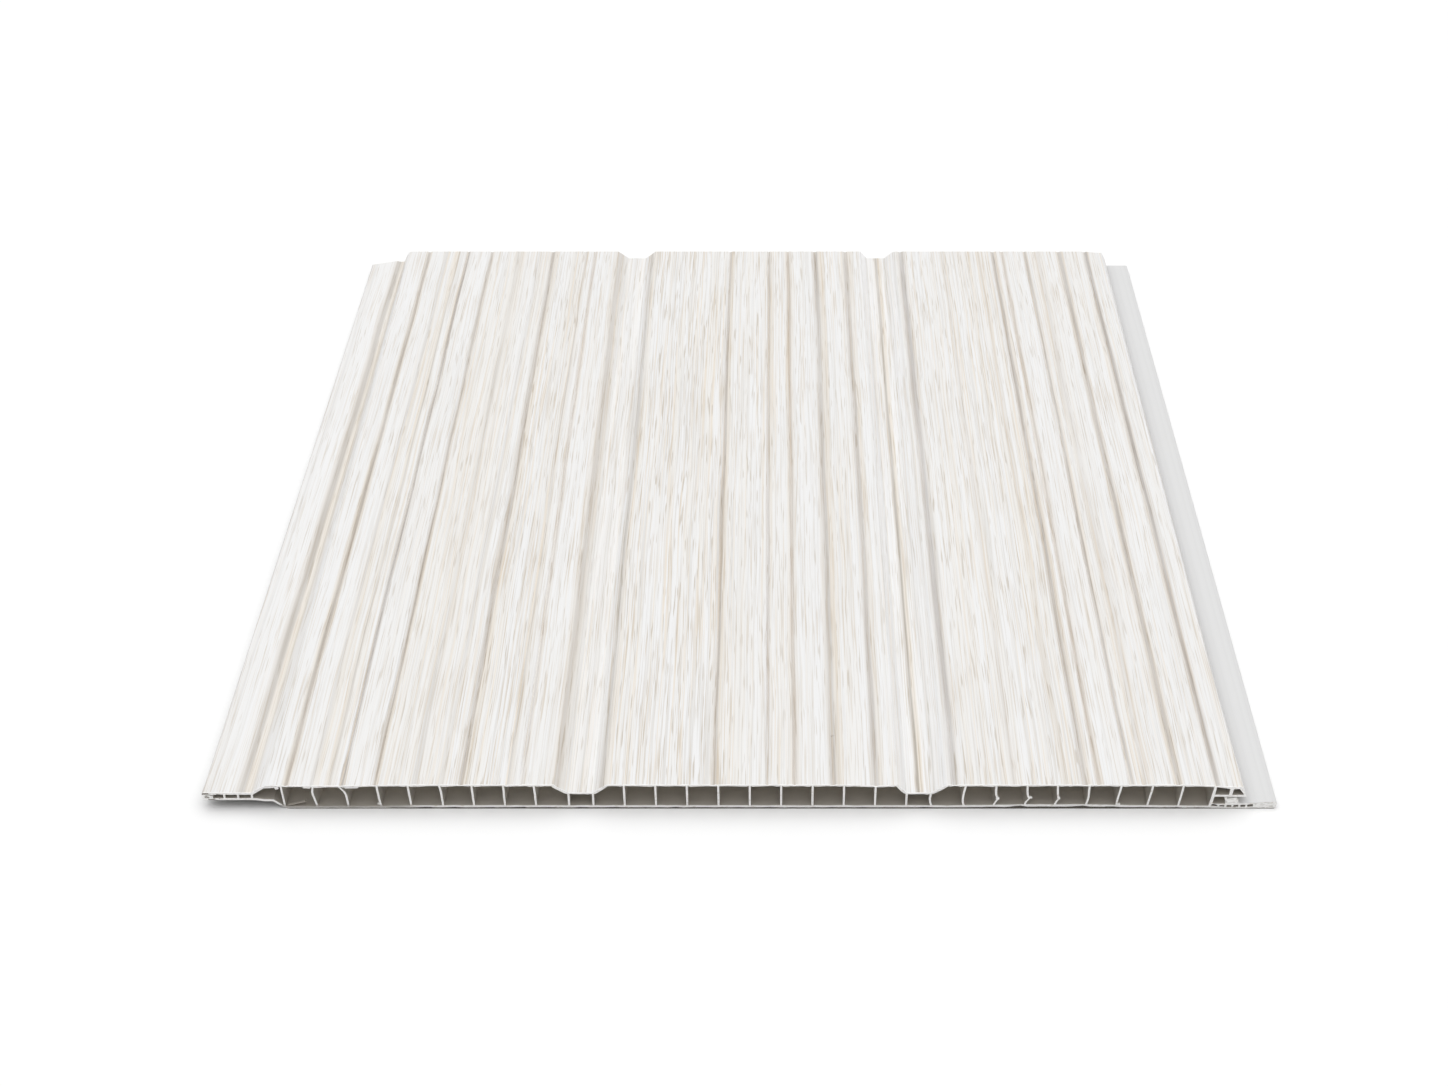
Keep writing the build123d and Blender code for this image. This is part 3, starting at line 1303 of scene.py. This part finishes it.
    def unwrap(self) -> None:
        """Lay the faces out on one map for baking: the film large, the rest in narrow strips."""
        mesh = self.piece.data
        sheet = mesh.uv_layers.new(name="OFBake")
        for face in mesh.polygons:
            for loop in face.loop_indices:
                corner = mesh.vertices[mesh.loops[loop].vertex_index]
                sheet.data[loop].uv = self.map_spot(face, corner.co)

    def build(self) -> Piece:
        """Make the whole piece.

        Returns:
            The finished piece, riding on the panel's body.
        """
        self.copy_solid()
        self.cut_finer()
        self.sort_faces()
        self.wear()
        self.unwrap()
        select_only(self.piece)
        bpy.ops.object.shade_smooth_by_angle(angle=self.smooth_angle)
        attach(self.piece, BODY)
        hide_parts(NODE)
        return self.piece


@dataclass(frozen=True)
class Burr:
    """A scrap of torn plastic left by the saw at the front end, in millimetres.

    Its place is measured across from the middle of the cover width, in from the front end and up from
    the floor. It leans in the plane of the section, by degrees.
    """

    place: Place
    size: Place
    lean: float = 0.0
    crumple: float = 0.1
    # a scrap inside a cell can take the cell walls' finish, which is painted shade near the ends
    cell_shade: bool = False


BURRS = (
    Burr((-118.4, 0.35, 7.08), (3.4, 0.5, 0.40), 3, 0.25),
    Burr((-116.3, 0.35, 6.85), (1.0, 0.5, 0.75), 10, 0.2),
    Burr((-108.9, 0.35, 7.02), (1.7, 0.5, 0.55), -5, 0.25),
    Burr((-112.1, 0.55, 1.50), (4.8, 0.7, 0.22), 17, 0.1, cell_shade=True),
    Burr((-97.9, 0.35, 7.02), (3.4, 0.5, 0.40), 2, 0.15),
    Burr((-91.6, 0.4, 1.25), (1.1, 0.5, 0.35), -20, 0.1),
    Burr((61.2, 0.3, 3.35), (0.9, 0.5, 0.55), 0, 0.2),
    Burr((69.1, 0.3, 3.75), (1.2, 0.5, 0.42), -25, 0.1),
    Burr((76.3, 0.3, 3.35), (0.6, 0.5, 0.5), 0, 0.1),
    Burr((91.1, 0.3, 1.25), (1.1, 0.5, 0.35), 25, 0.1),
    Burr((119.0, 0.8, 2.7), (2.3, 1.3, 1.5), 8, 0.9),
    Burr((117.6, 0.6, 3.0), (0.7, 0.9, 1.5), 20, 0.5),
    Burr((120.3, 0.6, 2.3), (0.7, 0.8, 1.0), -25, 0.4),
    Burr((119.2, 0.5, 1.72), (3.4, 0.9, 0.4), -3, 0.2),
    Burr((-54.8, 0.4, 0.42), (1.0, 0.4, 0.35), 0, 0.1),
    Burr((-49.4, 0.4, 0.42), (0.8, 0.4, 0.35), 0, 0.1),
)


@dataclass
class SawBurrs:
    """Scraps and curls of plastic that the saw left on the front end, joined into one piece."""

    section: PanelSection
    name: str = "saw_burrs"
    grain: float = 1.1 * MM
    cuts: int = 5
    rounding: float = 0.5
    rounds: int = 2

    def add(self, burr: Burr, ruffle: bpy.types.Texture) -> Piece:
        """Make one scrap from a slab, cut finer, rounded and crumpled with noise.

        Args:
            burr: Where it is and how large.
            ruffle: Noise that crumples it.

        Returns:
            The scrap.
        """
        across, inward, up = (length * MM for length in burr.place)
        centre = (self.section.middle + across, self.section.low.y + inward, up)
        bpy.ops.object.select_all(action="DESELECT")
        bpy.ops.mesh.primitive_cube_add(
            size=MM, location=centre, rotation=(0, math.radians(-burr.lean), 0), scale=burr.size
        )
        scrap = bpy.context.active_object
        bpy.ops.object.transform_apply()
        with edit_mode(scrap):
            bpy.ops.mesh.select_all(action="SELECT")
            bpy.ops.mesh.subdivide(number_cuts=self.cuts)
            bpy.ops.mesh.vertices_smooth(factor=self.rounding, repeat=self.rounds)
        for axis in "XZ":
            crumple = scrap.modifiers.new("crumple", "DISPLACE")
            crumple.texture = ruffle
            crumple.texture_coords = "LOCAL"
            crumple.direction = axis
            crumple.strength = burr.crumple * MM
            bpy.ops.object.modifier_apply(modifier=crumple.name)
        return scrap

    def build(self) -> Piece:
        """Make all the scraps and join them.

        Returns:
            The joined piece, riding on the panel's body.
        """
        ruffle = bpy.data.textures.new("burr_ruffle", "CLOUDS")
        ruffle.noise_scale = self.grain
        # scraps inside the cells take the cell walls' finish, painted shade near the ends, instead of
        # the sawn edges' finish
        bright, cell_shade = SawnEdge(self.section).make(), CellWall(self.section).make()
        scraps = []
        for burr in BURRS:
            scrap = self.add(burr, ruffle)
            scrap.data.materials.append(cell_shade if burr.cell_shade else bright)
            scraps.append(scrap)
        select_only(scraps[0])
        for scrap in scraps:
            scrap.select_set(True)
        bpy.ops.object.join()
        piece = bpy.context.active_object
        piece.name = self.name
        self.keep_inside(piece)
        bpy.ops.object.shade_smooth()
        bpy.ops.object.origin_set(type="ORIGIN_CURSOR")
        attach(piece, BODY)
        return piece

    def keep_inside(self, piece: Piece) -> None:
        """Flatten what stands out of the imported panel's box."""
        low, high = self.section.low, self.section.high
        for point in piece.data.vertices:
            for axis in range(3):
                point.co[axis] = min(max(point.co[axis], low[axis]), high[axis])


@dataclass
class Studio:
    """White floor, soft light from the whole sky, and the camera."""

    floor_size: float = 6.0
    floor_colour: Colour = srgb(250, 250, 250)
    horizon_level: float = 0.06
    zenith_level: float = 2.1
    back_bias: float = 0.25
    camera_place: Place = (7.8 * MM, -487.35 * MM, 355.75 * MM)
    camera_tilt: float = math.radians(52.45)
    lens: float = 50.0
    film_width: float = 36.0
    shift_x: float = -0.0331
    clip_start: float = 10 * MM

    def lay_floor(self) -> None:
        """Lay the pale floor under the panel."""
        bpy.ops.object.select_all(action="DESELECT")
        bpy.ops.mesh.primitive_plane_add(size=self.floor_size)
        floor = bpy.context.active_object
        floor.name = "studio_floor"
        material = bpy.data.materials.new("studio_floor")
        material.use_nodes = True
        shader = material.node_tree.nodes["Principled BSDF"]
        shader.inputs["Base Color"].default_value = self.floor_colour
        shader.inputs["Roughness"].default_value = 1.0
        shader.inputs["Specular IOR Level"].default_value = 0.0
        floor.data.materials.append(material)

    def light(self) -> None:
        """Light the panel from a sky that is brightest overhead and behind, and looks plain white."""
        world = bpy.data.worlds.new("studio_sky")
        bpy.context.scene.world = world
        sheet = NodeSheet(world)
        rays = sheet.node("ShaderNodeLightPath").outputs
        seen = sheet.math("MAXIMUM", rays["Is Camera Ray"], rays["Is Glossy Ray"])
        shown = sheet.math("MAXIMUM", seen, rays["Is Transmission Ray"])
        _, back, up = sheet.split(sheet.node("ShaderNodeTexCoord").outputs["Generated"])
        square = sheet.math("MULTIPLY", up, up)
        height = sheet.scale(square, 0.0, 1.0, self.horizon_level, self.zenith_level)
        light = sheet.math("MULTIPLY", height, sheet.math("MULTIPLY_ADD", back, self.back_bias, 1.0))
        level = sheet.node("ShaderNodeMix", data_type="FLOAT")
        for name, value in (("Factor", shown), ("A", light), ("B", 1.0)):
            sheet.feed(level.inputs[name], value)
        sky = sheet.node("ShaderNodeBackground")
        sheet.feed(sky.inputs["Color"], WHITE)
        sheet.feed(sky.inputs["Strength"], level.outputs[0])
        output = sheet.node("ShaderNodeOutputWorld")
        sheet.feed(output.inputs["Surface"], sky.outputs[0])

    def set_camera(self) -> None:
        """Stand the camera in front of the panel, looking down at it."""
        bpy.ops.object.select_all(action="DESELECT")
        bpy.ops.object.camera_add(location=self.camera_place, rotation=(self.camera_tilt, 0, 0))
        camera = bpy.context.active_object
        camera.data.lens = self.lens
        camera.data.sensor_width = self.film_width
        camera.data.sensor_fit = "HORIZONTAL"
        camera.data.shift_x = self.shift_x
        camera.data.clip_start = self.clip_start
        bpy.context.scene.camera = camera
        bpy.context.scene.view_settings.view_transform = "Standard"

    def build(self) -> None:
        """Set up the whole studio."""
        self.lay_floor()
        self.light()
        self.set_camera()


def main() -> None:
    """Build the dressed panel and its studio."""
    logging.basicConfig(level=logging.INFO, format="%(name)s: %(message)s")
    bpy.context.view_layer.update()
    section = PanelSection(*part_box(NODE))
    for piece in (PanelExtrusion(section).build(), SawBurrs(section).build()):
        LOG.info("%s has %d faces", piece.name, len(piece.data.polygons))
    Studio().build()


if __name__ == "__main__":
    main()
